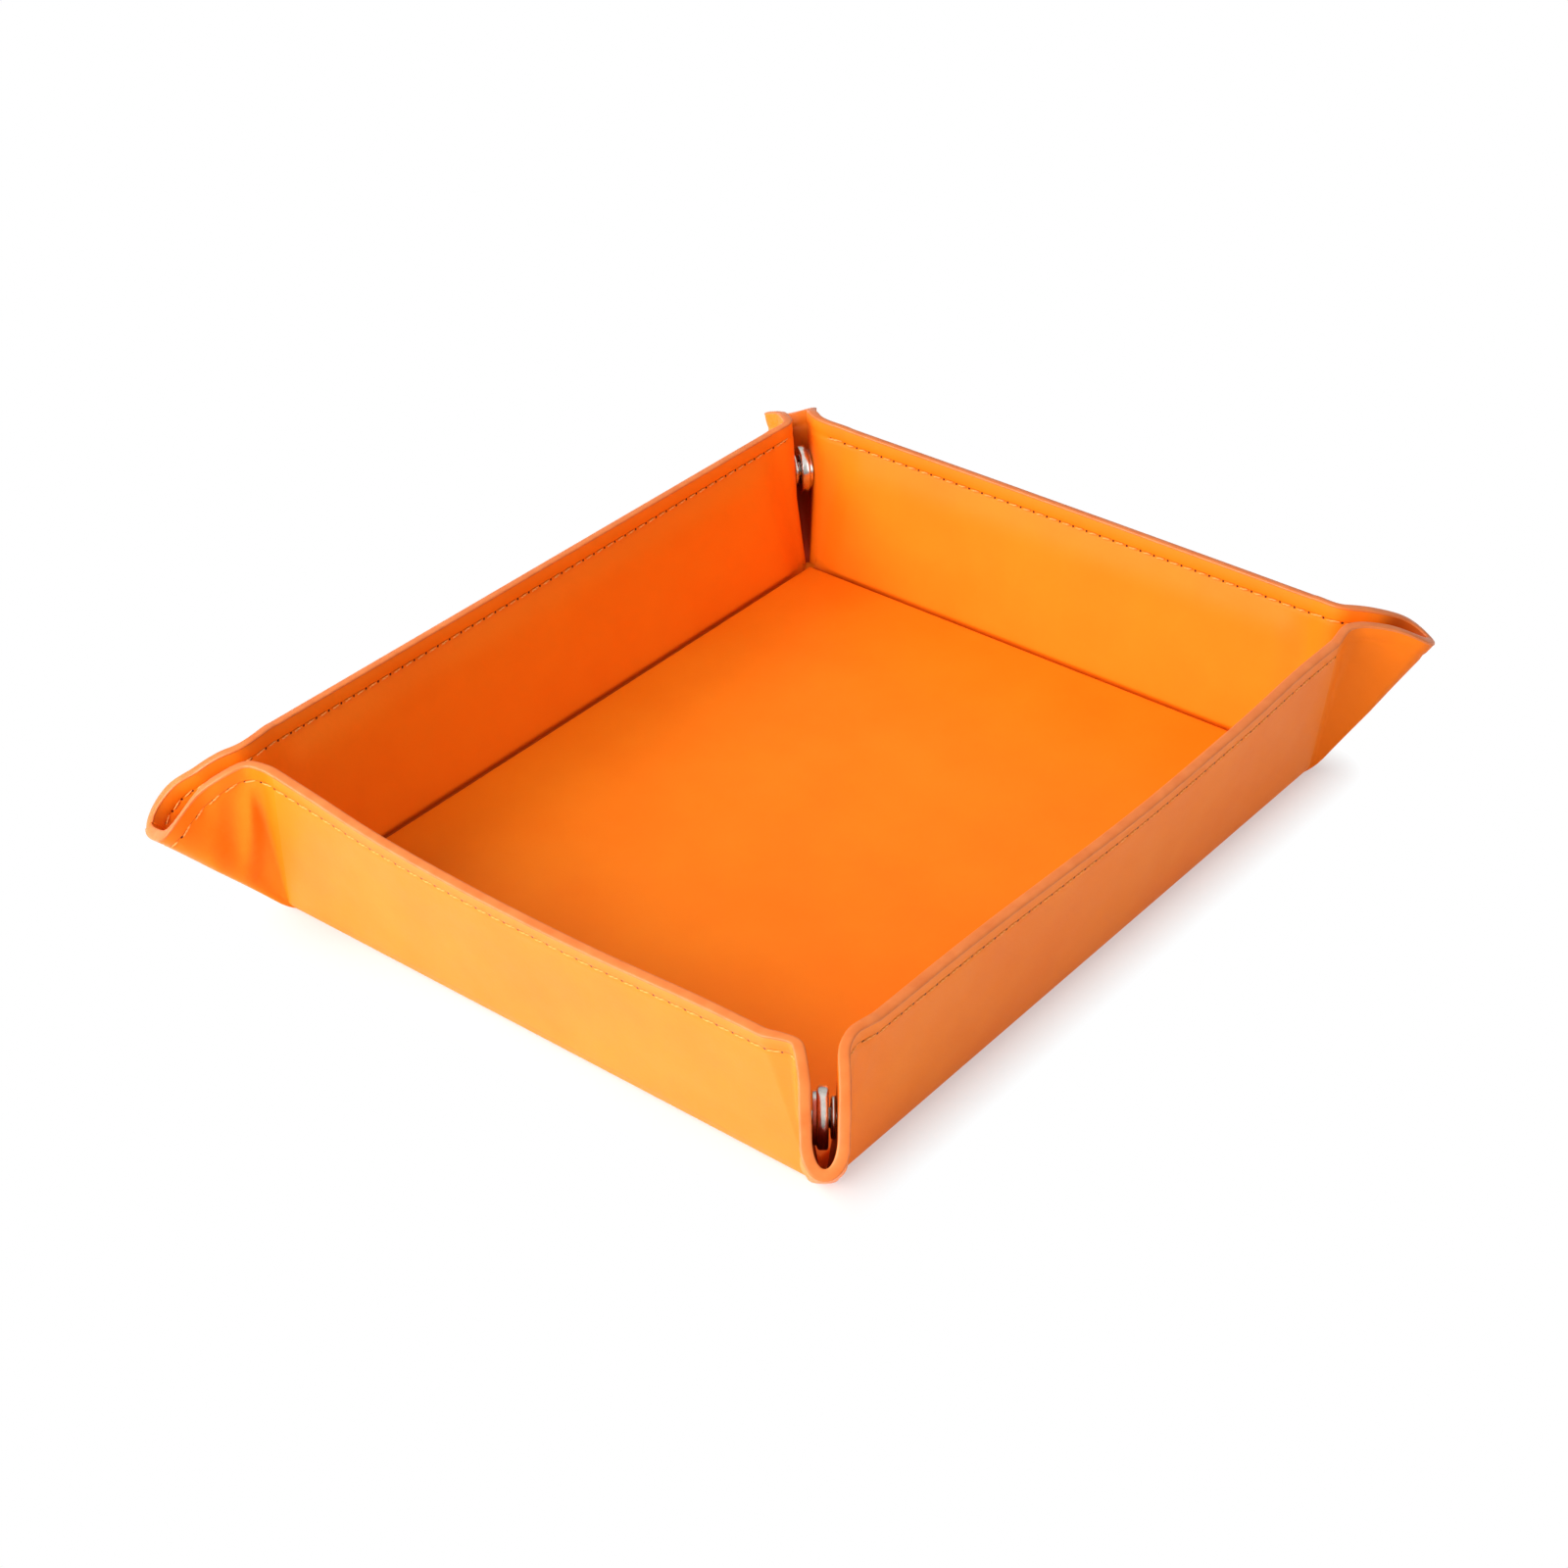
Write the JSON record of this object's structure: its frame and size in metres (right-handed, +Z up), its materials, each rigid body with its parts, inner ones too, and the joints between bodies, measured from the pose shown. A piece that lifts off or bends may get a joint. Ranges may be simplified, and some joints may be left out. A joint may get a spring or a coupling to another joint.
{
  "type": "jewelry tray",
  "caption": "Folding leather snap tray: a flat stiffened base and leaning walls whose corners are pinched into ears by press studs and open flat.",
  "frame": {"origin": "middle of the underside of the base", "axes": "+X along the long walls, +Y along the short walls from front to back, +Z up"},
  "size_m": [0.2366, 0.1945, 0.0422],
  "materials": {
    "orange_leather": "smooth, satin",
    "lining_leather": "smooth, satin",
    "grey_board": "raw board",
    "nickel": "polished"
  },
  "bodies": {
    "base": {"base_cover": "orange_leather", "base_board": "grey_board", "base_lining": "lining_leather"},
    "front_wall": {"front_wall_cover": "orange_leather", "front_wall_board": "grey_board", "front_wall_lining": "lining_leather"},
    "back_wall": {"back_wall_cover": "orange_leather", "back_wall_board": "grey_board", "back_wall_lining": "lining_leather"},
    "left_wall": {"left_wall_cover": "orange_leather", "left_wall_board": "grey_board", "left_wall_lining": "lining_leather"},
    "right_wall": {"right_wall_cover": "orange_leather", "right_wall_board": "grey_board", "right_wall_lining": "lining_leather"},
    "front_left_short_half": {"front_left_ear_cover_short_half": "orange_leather", "front_left_ear_lining_short_half": "lining_leather", "front_left_socket": "nickel", "front_left_socket_rivet": "nickel"},
    "front_left_long_half": {"front_left_ear_cover_long_half": "orange_leather", "front_left_ear_lining_long_half": "lining_leather", "front_left_stud": "nickel", "front_left_stud_rivet": "nickel"},
    "back_left_short_half": {"back_left_ear_cover_short_half": "orange_leather", "back_left_ear_lining_short_half": "lining_leather", "back_left_socket": "nickel", "back_left_socket_rivet": "nickel"},
    "back_left_long_half": {"back_left_ear_cover_long_half": "orange_leather", "back_left_ear_lining_long_half": "lining_leather", "back_left_stud": "nickel", "back_left_stud_rivet": "nickel"},
    "front_right_short_half": {"front_right_ear_cover_short_half": "orange_leather", "front_right_ear_lining_short_half": "lining_leather", "front_right_socket": "nickel", "front_right_socket_rivet": "nickel"},
    "front_right_long_half": {"front_right_ear_cover_long_half": "orange_leather", "front_right_ear_lining_long_half": "lining_leather", "front_right_stud": "nickel", "front_right_stud_rivet": "nickel"},
    "back_right_short_half": {"back_right_ear_cover_short_half": "orange_leather", "back_right_ear_lining_short_half": "lining_leather", "back_right_socket": "nickel", "back_right_socket_rivet": "nickel"},
    "back_right_long_half": {"back_right_ear_cover_long_half": "orange_leather", "back_right_ear_lining_long_half": "lining_leather", "back_right_stud": "nickel", "back_right_stud_rivet": "nickel"}
  },
  "joints": [
    {"name": "front_wall_fold", "type": "hinge", "parent": "base", "child": "front_wall", "pos_m": [0, -0.077, 0], "axis": [1, 0, 0], "range_deg": [0, 80]},
    {"name": "back_wall_fold", "type": "hinge", "parent": "base", "child": "back_wall", "pos_m": [0, 0.077, 0], "axis": [-1, 0, 0], "range_deg": [0, 80]},
    {"name": "left_wall_fold", "type": "hinge", "parent": "base", "child": "left_wall", "pos_m": [-0.096, 0, 0], "axis": [0, -1, 0], "range_deg": [0, 80]},
    {"name": "right_wall_fold", "type": "hinge", "parent": "base", "child": "right_wall", "pos_m": [0.096, 0, 0], "axis": [0, 1, 0], "range_deg": [0, 80]},
    {"name": "front_left_short_half_unfold", "type": "hinge", "parent": "left_wall", "child": "front_left_short_half", "pos_m": [-0.09213, -0.07265, 0.00052], "axis": [-0.0946, -0.1718, 0.9806], "range_deg": [0, 52.86]},
    {"name": "front_left_long_half_unfold", "type": "hinge", "parent": "front_wall", "child": "front_left_long_half", "pos_m": [-0.0905, -0.07293, 0.00091], "axis": [0.2414, 0.0968, -0.9656], "range_deg": [0, 39.22]},
    {"name": "back_left_short_half_unfold", "type": "hinge", "parent": "left_wall", "child": "back_left_short_half", "pos_m": [-0.09199, 0.07269, 0.00077], "axis": [0.158, -0.146, -0.9766], "range_deg": [0, 51.72]},
    {"name": "back_left_long_half_unfold", "type": "hinge", "parent": "back_wall", "child": "back_left_long_half", "pos_m": [-0.09075, 0.07274, 0.00117], "axis": [-0.2058, 0.1805, 0.9618], "range_deg": [0, 40.08]},
    {"name": "front_right_short_half_unfold", "type": "hinge", "parent": "right_wall", "child": "front_right_short_half", "pos_m": [0.09223, -0.07242, 0.00038], "axis": [-0.0396, 0.204, -0.9782], "range_deg": [0, 51.21]},
    {"name": "front_right_long_half_unfold", "type": "hinge", "parent": "front_wall", "child": "front_right_long_half", "pos_m": [0.09058, -0.07314, 0.00061], "axis": [0.2523, -0.0265, 0.9673], "range_deg": [0, 41.48]},
    {"name": "back_right_short_half_unfold", "type": "hinge", "parent": "right_wall", "child": "back_right_short_half", "pos_m": [0.09216, 0.07205, 0.0005], "axis": [0.044, 0.2219, 0.9741], "range_deg": [0, 46.26]},
    {"name": "back_right_long_half_unfold", "type": "hinge", "parent": "back_wall", "child": "back_right_long_half", "pos_m": [0.09105, 0.07316, 0.0005], "axis": [-0.2219, -0.044, -0.9741], "range_deg": [0, 46.26]}
  ],
  "couplings": [
    {"joint": "back_wall_fold", "follows": "front_wall_fold", "ratio": 1},
    {"joint": "left_wall_fold", "follows": "front_wall_fold", "ratio": 1},
    {"joint": "right_wall_fold", "follows": "front_wall_fold", "ratio": 1},
    {"joint": "front_left_short_half_unfold", "follows": "front_wall_fold", "ratio": 0.66058},
    {"joint": "front_left_long_half_unfold", "follows": "front_wall_fold", "ratio": 0.49009},
    {"joint": "back_left_short_half_unfold", "follows": "front_wall_fold", "ratio": 0.64634},
    {"joint": "back_left_long_half_unfold", "follows": "front_wall_fold", "ratio": 0.50082},
    {"joint": "front_right_short_half_unfold", "follows": "front_wall_fold", "ratio": 0.63997},
    {"joint": "front_right_long_half_unfold", "follows": "front_wall_fold", "ratio": 0.51831},
    {"joint": "back_right_short_half_unfold", "follows": "front_wall_fold", "ratio": 0.57816},
    {"joint": "back_right_long_half_unfold", "follows": "front_wall_fold", "ratio": 0.57816}
  ]
}
